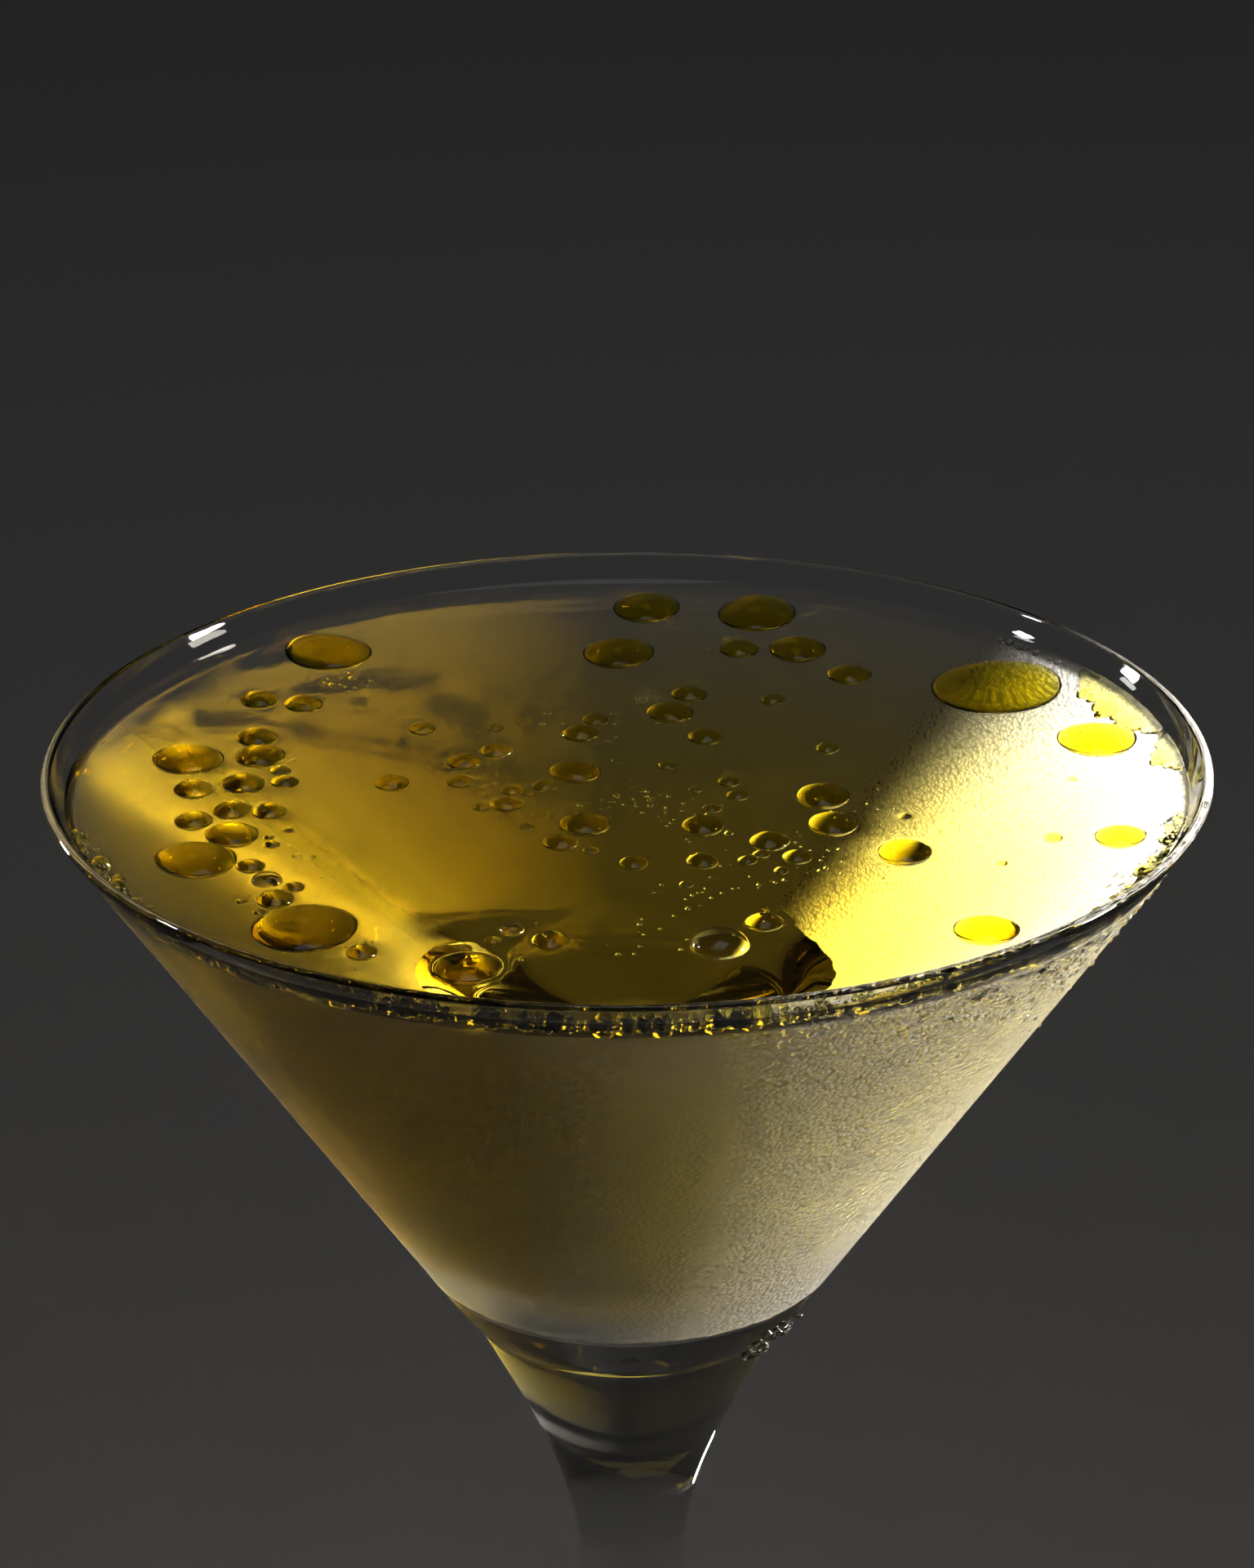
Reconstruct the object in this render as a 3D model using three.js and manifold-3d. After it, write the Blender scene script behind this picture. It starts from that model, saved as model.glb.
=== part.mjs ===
// A stemmed cocktail glass, filled almost to its rim with a pale gold drink that carries floating drops of oil.
// Lengths are millimetres and +Z is up. The origin is the centre of the foot's underside, and -Y is the front.
import * as THREE from "three";
import { mergeVertices } from "three/addons/utils/BufferGeometryUtils.js";
import Module from "manifold-3d";

const wasm = await Module();
wasm.setup();

// Glass: the whole height, the straight cone of the bowl, and the wall.
const GLASS_HEIGHT = 178;
const RIM_RADIUS = 57;
const RIM_WALL = 1;
const OUTER_SLOPE = 0.668; // radius lost for each millimetre down the outside of the cone
const INNER_SLOPE = 0.686; // a little more inside, so the wall thickens towards the stem
const CONE_DEPTH = 56; // below the rim, where the outside stops being straight
const SHOULDER_DEPTH = 60;
const SHOULDER_RADIUS = 16.3;
const HOLLOW_BEND_DEPTH = 44; // where the inside starts to round off into its floor
const HOLLOW_DEPTH = 55;

// Stem: a drawn neck below the shoulder, a slender shaft, and a flare into the foot.
const NECK_SLOPE = 0.521;
const NECK_PULL = 19.9; // how far the curve keeps the neck's slope, and then the shaft's upright line
const SHAFT_PULL = 22.2;
const SHAFT_TOP_DEPTH = 105;
const SHAFT_TOP_RADIUS = 4.9;
const SHAFT_FOOT_RADIUS = 4.3;
const SHAFT_FOOT_HEIGHT = 26;

// Foot: a thin disc that slopes up to the stem, with a shallow hollow under its middle.
const FOOT_RADIUS = 39.6;
const FOOT_EDGE = 1.6;
const FOOT_FLARE_HEIGHT = 8;
const FOOT_FLARE_RADIUS = 10;
const FOOT_SLOPE_HEIGHT = 4.6;
const FOOT_HOLLOW_RADIUS = 24;
const FOOT_HOLLOW_HEIGHT = 1.2;

// Drink: its level below the rim, and the rise of its edge against the wall.
const LEVEL = GLASS_HEIGHT - 3.6;
const EDGE_RISE = 1.3;
const EDGE_REACH = 1.8; // distance in which the rise falls to about a third
const EDGE_WIDTH = 7; // outside this band the surface is flat
const CLEARANCE = 0.3; // between pieces that would touch

// Oil: how far a drop stands over the drink and hangs into it, as shares of its width, with the most of each.
const CROWN_SHARE = 0.11;
const CROWN_MOST = 0.55;
const BELLY_SHARE = 0.32;
const BELLY_MOST = 2.6;
const OVAL = 0.03; // how far a drop is from round, each way
const POCKET_RISE = 2.5; // how far a drop's pocket is cleared above the drink

// Facets.
const TURNED_SIDES = 56; // of the glass and the drink alike, so that the gap between them is even
const WIDE_DROP = 7; // a drop wider than this has the larger number of sides
const WIDE_DROP_SIDES = 20;
const DROP_SIDES = 14;
const SMALL_SIDES = 8;
const BEAD_SIDES = 6;
const CURVE_STEPS = 5;
const WELD = 1e-4;

// Each large drop that floats free: its name, its centre to the right and back, and its width.
const DROPS = [
  ["drop_far_left", -31.1, 36.8, 9.0],
  ["drop_left_high", -43.6, 8.4, 7.1],
  ["drop_left_inner", -36.5, 9.0, 5.0],
  ["drop_left_middle", -38.0, -10.4, 5.3],
  ["drop_left_low", -41.0, -16.3, 7.8],
  ["drop_left_near", -29.8, -32.1, 9.9],
  ["drop_far_middle", 2.2, 49.1, 7.2],
  ["drop_far_right", 13.9, 47.1, 8.5],
  ["drop_back_dark", -0.8, 36.3, 7.5],
  ["drop_back_right", 17.9, 37.1, 6.1],
  ["drop_centre_back", 4.4, 19.8, 4.8],
  ["drop_centre", -5.1, 4.6, 5.0],
  ["drop_centre_front", -4.1, -8.5, 4.9],
  ["drop_right_pair_back", 19.1, -1.8, 5.4],
  ["drop_right_pair_front", 19.8, -8.6, 4.9],
  ["drop_front", -14.6, -40.9, 6.2],
  ["drop_largest", 37.9, 26.0, 13.6],
  ["drop_right_wall", 47.0, 12.0, 7.9],
  ["drop_right_low", 47.2, -12.2, 4.9],
  ["drop_right_inner", 26.4, -15.5, 5.3],
  ["drop_right_near", 33.0, -33.3, 6.0],
];

// The one large bubble of air, a dome of thin film that stands higher than the oil.
const BUBBLE = ["air_bubble", 8.4, -36.6, 5.4];
const BUBBLE_CROWN = 1.5;
const BUBBLE_BELLY = 1.1;

// Oil gathered in the corner between drink and wall, on the right: tapered beads, each from one angle to another.
const SLICKS = [
  ["wall_slick_back", 17, 29.5],
  ["wall_slick_front", 4.5, 11.3],
];
const SLICK_RADIUS = 52.9;
const SLICK_WIDTH = 1.3;
const SLICK_HEIGHT = 1.2;
const SLICK_STEPS = 10;
const SLICK_SIDES = 8;

// Small drops, fused to the drink's surface: centre to the right, centre to the back, width.
const SMALL_LEFT = [
  [-37.5, 23.8, 4.0], [-32.9, 22.6, 4.0], [-37.1, 13.8, 4.2], [-34.2, 5.2, 2.1], [-42.5, 0.6, 4.0],
  [-37.7, 2.1, 4.4], [-33.6, 2.3, 2.7], [-41.9, -7.1, 3.9], [-38.4, -4.6, 3.8], [-34.7, -5.0, 3.4],
  [-35.7, -18.0, 2.8], [-33.9, -21.6, 2.9], [-31.3, -22.9, 2.1], [-32.9, -25.7, 3.6], [-24.3, -37.5, 3.0],
];
const SMALL_MIDDLE = [
  [-20.6, 15.8, 2.8], [-23.1, 1.9, 3.4], [-16.1, 7.1, 3.4], [-13.0, 9.9, 3.3], [-16.4, 2.2, 2.7],
  [-11.2, -0.1, 2.2], [-11.7, -3.5, 3.2], [-4.6, 14.3, 3.7], [-3.1, 17.9, 2.7], [-8.0, 1.0, 2.5],
  [-6.4, -12.9, 3.4], [11.8, 37.2, 4.3], [23.0, 29.8, 4.6], [6.4, 24.6, 3.6], [7.9, 13.2, 3.6],
  [14.9, 23.0, 2.5], [20.0, 10.1, 2.4], [4.0, 5.9, 1.9], [10.0, 1.7, 2.2], [10.8, -1.7, 2.2],
  [8.2, -4.9, 1.9], [7.3, -9.0, 4.2], [13.6, -12.8, 3.9], [7.1, -17.5, 3.1], [0.6, -17.8, 2.8],
  [16.1, -16.6, 2.8], [11.4, -17.3, 1.9], [12.6, -31.4, 3.5], [-7.1, -35.2, 3.6], [-10.7, -32.9, 2.3],
];
const SMALL_CROWN = 0.17; // share of the width
const SMALL_SUNK = 0.5; // depth of the hidden part that joins a small drop to the drink

// Beads of oil along the front of the drink's edge, where they gather in the corner with the wall.
const BEAD_COUNT = 22;
const BEAD_FROM = 198; // degrees, round the front from left to right
const BEAD_TO = 342;
const BEAD_RADIUS = 51.9;
const BEAD_WIDTHS = [1.6, 2.2, 1.4, 1.9];
const BEAD_CROWN = 0.34;
const BEAD_RISE = 0.3; // how far up the curved edge a bead sits

const GLASS = new THREE.MeshStandardMaterial({
  color: 0xe9efee, roughness: 0.08, metalness: 0, transparent: true, opacity: 0.35,
});
const DRINK = new THREE.MeshStandardMaterial({ color: 0xc9a24a, roughness: 0.1, metalness: 0 });
const OIL = new THREE.MeshStandardMaterial({ color: 0xa89a10, roughness: 0.12, metalness: 0 });
const FILM = new THREE.MeshStandardMaterial({ color: 0xe8dcae, roughness: 0.05, metalness: 0 });

/** A closed geometry as a solid: only positions are kept, and vertices that coincide are merged. */
function solidOf(geometry) {
  const bare = geometry.clone();
  bare.deleteAttribute("normal");
  bare.deleteAttribute("uv");
  const merged = mergeVertices(bare, WELD);
  const mesh = new wasm.Mesh({
    numProp: 3,
    vertProperties: merged.attributes.position.array,
    triVerts: new Uint32Array(merged.index.array),
  });
  return new wasm.Manifold(mesh);
}

/** A solid back as a geometry with flat facets. */
function geometryOf(solid) {
  const { vertProperties, triVerts } = solid.getMesh();
  const indexed = new THREE.BufferGeometry();
  indexed.setAttribute("position", new THREE.BufferAttribute(vertProperties, 3));
  indexed.setIndex(new THREE.BufferAttribute(triVerts, 1));
  const faceted = indexed.toNonIndexed();
  faceted.computeVertexNormals();
  return faceted;
}

/** A profile of radius and height, turned round the Z axis. */
function turned(profile, sides) {
  return new THREE.LatheGeometry(profile, sides).rotateX(Math.PI / 2);
}

/** The point of a profile at a radius and a depth below the rim. */
function below(radius, depth) {
  return new THREE.Vector2(radius, GLASS_HEIGHT - depth);
}

/** Radius of the outside of the cone at a depth below the rim. */
function outerRadius(depth) {
  return RIM_RADIUS - OUTER_SLOPE * depth;
}

/** Radius of the inside of the cone at a depth below the rim. */
function innerRadius(depth) {
  return RIM_RADIUS - RIM_WALL - INNER_SLOPE * depth;
}

/** The rounded floor of the hollow, from its middle outwards to where the straight wall starts. */
function hollowFloor() {
  return new THREE.QuadraticBezierCurve(
    below(0, HOLLOW_DEPTH),
    below(innerRadius(HOLLOW_DEPTH), HOLLOW_DEPTH),
    below(innerRadius(HOLLOW_BEND_DEPTH), HOLLOW_BEND_DEPTH),
  );
}

/** The glass in one profile: under the foot, up the stem and the outside, over the lip, and down the inside. */
function glassProfile() {
  const edge = FOOT_EDGE / 2;
  const footHollow = new THREE.QuadraticBezierCurve(
    new THREE.Vector2(0, FOOT_HOLLOW_HEIGHT),
    new THREE.Vector2(FOOT_HOLLOW_RADIUS / 2, FOOT_HOLLOW_HEIGHT),
    new THREE.Vector2(FOOT_HOLLOW_RADIUS, 0),
  );
  const footEdge = new THREE.EllipseCurve(
    FOOT_RADIUS - edge, edge, edge, edge, -Math.PI / 2, Math.PI / 2,
  );
  const flare = new THREE.CubicBezierCurve(
    new THREE.Vector2(FOOT_RADIUS - edge, FOOT_EDGE),
    new THREE.Vector2(FOOT_FLARE_RADIUS, FOOT_SLOPE_HEIGHT),
    new THREE.Vector2(SHAFT_FOOT_RADIUS, FOOT_FLARE_HEIGHT),
    new THREE.Vector2(SHAFT_FOOT_RADIUS, SHAFT_FOOT_HEIGHT),
  );
  const neck = new THREE.CubicBezierCurve(
    below(SHAFT_TOP_RADIUS, SHAFT_TOP_DEPTH),
    below(SHAFT_TOP_RADIUS, SHAFT_TOP_DEPTH - SHAFT_PULL),
    below(SHOULDER_RADIUS - NECK_SLOPE * NECK_PULL, SHOULDER_DEPTH + NECK_PULL),
    below(SHOULDER_RADIUS, SHOULDER_DEPTH),
  );
  const shoulder = new THREE.QuadraticBezierCurve(
    below(SHOULDER_RADIUS, SHOULDER_DEPTH),
    below(outerRadius(SHOULDER_DEPTH - 1), SHOULDER_DEPTH - 1),
    below(outerRadius(CONE_DEPTH), CONE_DEPTH),
  );
  const lip = new THREE.EllipseCurve(
    RIM_RADIUS - RIM_WALL / 2, GLASS_HEIGHT - RIM_WALL / 2, RIM_WALL / 2, RIM_WALL / 2, 0, Math.PI,
  );
  return [
    ...footHollow.getPoints(2),
    ...footEdge.getPoints(3),
    ...flare.getPoints(CURVE_STEPS + 2).slice(1),
    ...neck.getPoints(CURVE_STEPS + 2),
    ...shoulder.getPoints(2).slice(1),
    ...lip.getPoints(4),
    ...hollowFloor().getPoints(CURVE_STEPS).reverse(),
  ];
}

/** Height of the drink's surface at a radius: flat, and curving up to the wall. */
function surfaceHeight(radius) {
  return LEVEL + EDGE_RISE * Math.exp((radius - edgeRadius()) / EDGE_REACH);
}

/** Radius at which the drink's surface meets its side. */
function edgeRadius() {
  return innerRadius(GLASS_HEIGHT - LEVEL - EDGE_RISE) - sideGap();
}

/** The clearance to the sloping wall, measured level. */
function sideGap() {
  return CLEARANCE * Math.hypot(1, INNER_SLOPE);
}

/** The drink in one profile: along its rounded bottom, up its side, and in over its surface. */
function drinkProfile() {
  const floor = hollowFloor();
  const bottom = floor.getPoints(CURVE_STEPS).map((point, i) => {
    const along = floor.getTangent(i / CURVE_STEPS);
    return new THREE.Vector2(
      Math.max(0, point.x - along.y * CLEARANCE),
      point.y + along.x * CLEARANCE,
    );
  });
  const edge = edgeRadius();
  const surface = [0, 0.1, 0.25, 0.5, 1].map((share) => {
    const radius = edge - share * EDGE_WIDTH;
    return new THREE.Vector2(radius, share < 1 ? surfaceHeight(radius) : LEVEL);
  });
  return [...bottom, ...surface, new THREE.Vector2(0, LEVEL)];
}

/** A profile turned about its own axis, made a little oval, and set at a place on the drink. */
function afloat(profile, x, y, height, sides) {
  return turned(profile, sides)
    .scale(1 + OVAL, 1 - OVAL, 1)
    .rotateZ(x + y)
    .translate(x, y, height);
}

/** The upper half of a drop, from its rim to the top of its low crown. */
function crownProfile(radius, crown) {
  return [
    new THREE.Vector2(radius, 0),
    new THREE.Vector2(radius * 0.72, crown * 0.6),
    new THREE.Vector2(0, crown),
  ];
}

/** The lower half of a drop, an ellipse from its lowest point out to just under its rim. */
function bellyProfile(radius, belly) {
  return [90, 58, 28].map((degrees) => {
    const angle = THREE.MathUtils.degToRad(degrees);
    return new THREE.Vector2(radius * Math.cos(angle), -belly * Math.sin(angle));
  });
}

/** A free drop: a low crown above the drink and a deeper, rounder belly in it. */
function lens(x, y, width, crown, belly) {
  const radius = width / 2;
  const profile = [...bellyProfile(radius, belly), ...crownProfile(radius, crown)];
  profile[0].x = 0;
  return afloat(profile, x, y, LEVEL, dropSides(width));
}

/** A small drop that is part of the drink: a crown on a short plug that ends below the surface. */
function fusedDrop(x, y, width, crown, height, sides) {
  const radius = width / 2;
  const plug = [new THREE.Vector2(0, -SMALL_SUNK), new THREE.Vector2(radius * 0.8, -SMALL_SUNK)];
  return afloat([...plug, ...crownProfile(radius, crown)], x, y, height, sides);
}

/** The pocket that a free drop sits in: its belly grown by the clearance, and open above the drink. */
function pocket(x, y, width, belly) {
  const radius = width / 2 + CLEARANCE;
  const profile = bellyProfile(radius, belly + CLEARANCE);
  profile[0].x = 0;
  profile.push(new THREE.Vector2(radius, 0));
  profile.push(new THREE.Vector2(radius, POCKET_RISE));
  profile.push(new THREE.Vector2(0, POCKET_RISE));
  return afloat(profile, x, y, LEVEL, dropSides(width));
}

/** How far a free drop of a width stands up and hangs down. */
function dropHeights(width) {
  return {
    crown: Math.min(CROWN_SHARE * width, CROWN_MOST),
    belly: Math.min(BELLY_SHARE * width, BELLY_MOST),
  };
}

/** Sides of a drop: more on a wider one. */
function dropSides(width) {
  return width > WIDE_DROP ? WIDE_DROP_SIDES : DROP_SIDES;
}

/** A bead that follows the wall round from one angle to another, tapers at both ends, and may be grown all
 * round and stretched out towards the wall. */
function wallBead(from, to, grow, stretch) {
  const positions = [];
  const index = [];
  const lift = surfaceHeight(SLICK_RADIUS);
  for (let i = 0; i <= SLICK_STEPS; i++) {
    const share = i / SLICK_STEPS;
    const turn = THREE.MathUtils.degToRad(THREE.MathUtils.lerp(from, to, share));
    const size = Math.sqrt(Math.sin(Math.PI * THREE.MathUtils.clamp(share, 0.04, 0.96)));
    for (let j = 0; j < SLICK_SIDES; j++) {
      const round = (2 * Math.PI * j) / SLICK_SIDES;
      const outward = Math.max(0, Math.cos(round)) * stretch;
      const radius = SLICK_RADIUS + Math.cos(round) * ((size * SLICK_WIDTH) / 2 + grow) + outward;
      const height = lift + Math.sin(round) * ((size * SLICK_HEIGHT) / 2 + grow);
      positions.push(radius * Math.cos(turn), radius * Math.sin(turn), height);
    }
  }
  const ring = (i, j) => i * SLICK_SIDES + (j % SLICK_SIDES);
  for (let i = 0; i < SLICK_STEPS; i++) {
    for (let j = 0; j < SLICK_SIDES; j++) {
      index.push(ring(i, j), ring(i + 1, j), ring(i, j + 1));
      index.push(ring(i, j + 1), ring(i + 1, j), ring(i + 1, j + 1));
    }
  }
  for (let j = 1; j < SLICK_SIDES - 1; j++) {
    index.push(ring(0, 0), ring(0, j), ring(0, j + 1));
    index.push(ring(SLICK_STEPS, 0), ring(SLICK_STEPS, j + 1), ring(SLICK_STEPS, j));
  }
  const geometry = new THREE.BufferGeometry();
  geometry.setAttribute("position", new THREE.Float32BufferAttribute(positions, 3));
  geometry.setIndex(index);
  return geometry;
}

/** The small drops and the beads at the drink's front edge, as solids that reach into the drink. */
function fusedDrops() {
  const fused = [...SMALL_LEFT, ...SMALL_MIDDLE].map(([x, y, width]) =>
    fusedDrop(x, y, width, SMALL_CROWN * width, LEVEL, SMALL_SIDES),
  );
  for (let i = 0; i < BEAD_COUNT; i++) {
    const turn = THREE.MathUtils.degToRad(
      THREE.MathUtils.lerp(BEAD_FROM, BEAD_TO, i / (BEAD_COUNT - 1)),
    );
    const x = BEAD_RADIUS * Math.cos(turn);
    const y = BEAD_RADIUS * Math.sin(turn);
    const width = BEAD_WIDTHS[i % BEAD_WIDTHS.length];
    fused.push(fusedDrop(x, y, width, BEAD_CROWN * width, LEVEL + BEAD_RISE, BEAD_SIDES));
  }
  return fused.map(solidOf);
}

/** The drink: its turned body with the fused drops, less the pockets of the pieces that float in it. */
function drinkGeometry() {
  let solid = solidOf(turned(drinkProfile(), TURNED_SIDES));
  for (const drop of fusedDrops()) {
    solid = solid.add(drop);
  }
  for (const [, x, y, width] of DROPS) {
    solid = solid.subtract(solidOf(pocket(x, y, width, dropHeights(width).belly)));
  }
  const [, x, y, width] = BUBBLE;
  solid = solid.subtract(solidOf(pocket(x, y, width, BUBBLE_BELLY)));
  for (const [, from, to] of SLICKS) {
    solid = solid.subtract(solidOf(wallBead(from, to, CLEARANCE, EDGE_RISE)));
  }
  return geometryOf(solid);
}

/** Adds a named piece to the group. */
function addPiece(group, name, geometry, material) {
  const mesh = new THREE.Mesh(geometry, material);
  mesh.name = name;
  group.add(mesh);
}

const cocktail = new THREE.Group();
addPiece(cocktail, "glass", turned(glassProfile(), TURNED_SIDES), GLASS);
addPiece(cocktail, "drink", drinkGeometry(), DRINK);
for (const [name, x, y, width] of DROPS) {
  const { crown, belly } = dropHeights(width);
  addPiece(cocktail, name, lens(x, y, width, crown, belly), OIL);
}
const [bubbleName, bubbleX, bubbleY, bubbleWidth] = BUBBLE;
addPiece(
  cocktail, bubbleName, lens(bubbleX, bubbleY, bubbleWidth, BUBBLE_CROWN, BUBBLE_BELLY), FILM,
);
for (const [name, from, to] of SLICKS) {
  addPiece(cocktail, name, wallBead(from, to, 0, 0), OIL);
}

export default cocktail;
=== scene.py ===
"""Looks of a stemmed cocktail glass filled with a pale gold drink that carries drops of green-gold oil.

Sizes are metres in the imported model's frame: +Z up, the origin under the middle of the foot, -Y in front.
Places and widths that read better in millimetres are written so and turned into metres where they are used.
"""

import logging
import math
from dataclasses import dataclass
from enum import Enum
from functools import reduce

import bmesh
import bpy
import numpy as np
from mathutils import Matrix, Vector
from mathutils.geometry import delaunay_2d_cdt


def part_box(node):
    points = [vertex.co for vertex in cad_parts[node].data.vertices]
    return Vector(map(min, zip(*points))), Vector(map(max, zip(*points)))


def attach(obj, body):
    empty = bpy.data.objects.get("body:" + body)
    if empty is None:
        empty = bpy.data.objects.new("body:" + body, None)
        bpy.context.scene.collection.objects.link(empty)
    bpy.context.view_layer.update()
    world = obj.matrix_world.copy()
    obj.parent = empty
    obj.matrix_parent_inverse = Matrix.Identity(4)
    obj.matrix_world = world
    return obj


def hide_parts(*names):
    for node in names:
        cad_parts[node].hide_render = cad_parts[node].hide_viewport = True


LOG = logging.getLogger("cocktail")
MM = 0.001
# How much longer or shorter than round a floater is, and how far in millimetres it laps into the drink.
OVAL = 0.03
OVERLAP = 0.03
Socket = bpy.types.NodeSocket

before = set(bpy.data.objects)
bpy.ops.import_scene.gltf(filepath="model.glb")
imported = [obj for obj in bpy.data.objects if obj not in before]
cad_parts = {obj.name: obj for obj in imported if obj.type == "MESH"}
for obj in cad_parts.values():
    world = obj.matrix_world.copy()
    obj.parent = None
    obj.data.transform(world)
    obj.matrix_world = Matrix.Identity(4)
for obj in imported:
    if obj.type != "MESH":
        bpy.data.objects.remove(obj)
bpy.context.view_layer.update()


def box_of(node: str) -> tuple[np.ndarray, np.ndarray]:
    """Lowest and highest corner of a CAD node.

    Args:
        node: the node's name.

    Returns:
        Two arrays of three metres.
    """
    low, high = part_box(node)
    return np.array(low), np.array(high)


def bezier(points: list[tuple[float, float]], steps: int) -> np.ndarray:
    """Points along a Bezier curve of any degree.

    Each point is the sum of the control points weighted by the Bernstein terms
    binomial(n, k) * t**k * (1 - t)**(n - k).

    Args:
        points: the control points.
        steps: how many stretches the curve is cut into.

    Returns:
        An array of steps + 1 rows of radius and height.
    """
    control = np.array(points)
    degree = len(control) - 1
    t = np.linspace(0.0, 1.0, steps + 1)[:, None]
    k = np.arange(degree + 1)
    terms = np.array([math.comb(degree, i) for i in k])
    weights = terms * t**k * (1.0 - t) ** (degree - k)
    return weights @ control


def arc(centre: tuple[float, float], radius: float, start: float, end: float, steps: int) -> np.ndarray:
    """Points along a round arc: centre + radius * (cos, sin) of an angle that runs from start to end.

    Args:
        centre: radius and height of the centre.
        radius: the arc's own radius.
        start: first angle in degrees.
        end: last angle in degrees.
        steps: how many stretches the arc is cut into.

    Returns:
        An array of steps + 1 rows of radius and height.
    """
    angle = np.radians(np.linspace(start, end, steps + 1))
    return np.array(centre) + radius * np.stack([np.cos(angle), np.sin(angle)], axis=1)


def around_axis(radius: np.ndarray, angle: np.ndarray, height: np.ndarray | float) -> np.ndarray:
    """Points at (radius cos angle, radius sin angle, height), with x, y and z along the last side."""
    x, y, z = np.broadcast_arrays(radius * np.cos(angle), radius * np.sin(angle), height)
    return np.stack([x, y, z], axis=-1)


def shifted(profile: np.ndarray, distance: float) -> np.ndarray:
    """A profile moved sideways: each point goes by distance along the left normal of the curve there.

    Args:
        profile: rows of radius and height.
        distance: metres to the left of the way the profile runs.

    Returns:
        The moved rows, with no radius below nought.
    """
    along = np.gradient(profile, axis=0)
    along /= np.linalg.norm(along, axis=1)[:, None]
    moved = profile + distance * np.stack([-along[:, 1], along[:, 0]], axis=1)
    moved[:, 0] = np.maximum(moved[:, 0], 0.0)
    return moved


@dataclass
class Surface:
    """Vertices and faces on their way to a mesh."""

    points: np.ndarray
    faces: list[np.ndarray]

    def piece(self, name: str, material: bpy.types.Material, slot: str) -> bpy.types.Object:
        """Makes a smooth-shaded object that rides on the root body.

        Args:
            name: the piece's name.
            material: its finish.
            slot: the record's material slot; not used.

        Returns:
            The new object.
        """
        mesh = bpy.data.meshes.new(name)
        faces = [row for block in self.faces for row in block.tolist()]
        mesh.from_pydata(self.points.tolist(), [], faces)
        mesh.polygons.foreach_set("use_smooth", np.ones(len(mesh.polygons), bool))
        mesh.materials.append(material)
        mesh.update()
        made = bpy.data.objects.new(name, mesh)
        bpy.context.scene.collection.objects.link(made)
        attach(made, "root")
        LOG.info("%s: %d faces", name, len(mesh.polygons))
        return made


def joined(surfaces: list[Surface]) -> Surface:
    """Several surfaces as one, each keeping its own vertices."""
    starts = np.cumsum([0] + [len(s.points) for s in surfaces[:-1]])
    faces = [block + start for s, start in zip(surfaces, starts) for block in s.faces]
    return Surface(np.concatenate([s.points for s in surfaces]), faces)


def grid_faces(rows: int, sides: int, first: int = 0) -> np.ndarray:
    """Quads between rings of points, each ring closed on itself.

    Args:
        rows: number of rings.
        sides: points in a ring.
        first: index of the first ring's first point.

    Returns:
        Rows of four indices, facing out where the rings rise and turn to the left.
    """
    i, j = np.meshgrid(np.arange(rows - 1), np.arange(sides), indexing="ij")
    after = (j + 1) % sides
    quad = np.stack([i * sides + j, i * sides + after, (i + 1) * sides + after, (i + 1) * sides + j], axis=-1)
    return quad.reshape(-1, 4) + first


def fan(pole: int, first: int, sides: int, under: bool = False) -> np.ndarray:
    """Triangles from a pole to each side of a ring.

    Args:
        pole: index of the pole.
        first: index of the ring's first point.
        sides: points in the ring.
        under: whether the pole lies before the ring, so that the triangles turn the other way.

    Returns:
        Rows of three indices.
    """
    j = np.arange(sides)
    pair = [first + j, first + (j + 1) % sides]
    return np.stack([np.full(sides, pole)] + (pair[::-1] if under else pair), axis=1)


def turned(profile: np.ndarray, sides: int) -> Surface:
    """A closed solid of revolution: (radius cos a, radius sin a, height) for each profile point and angle a.

    Args:
        profile: rows of radius and height from the lowest middle point round the outside to the last middle
            point. The first and last are on the axis.
        sides: number of facets round the axis.

    Returns:
        The surface, with a fan of triangles at each end.
    """
    angle = np.linspace(0.0, 2.0 * np.pi, sides, endpoint=False)
    rings = profile[1:-1]
    body = around_axis(rings[:, :1], angle, rings[:, 1:]).reshape(-1, 3)
    poles = np.array([[0.0, 0.0, profile[0, 1]], [0.0, 0.0, profile[-1, 1]]])
    low = fan(len(body), 0, sides, under=True)
    high = fan(len(body) + 1, (len(rings) - 1) * sides, sides)
    return Surface(np.concatenate([body, poles]), [grid_faces(len(rings), sides), low, high])


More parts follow.
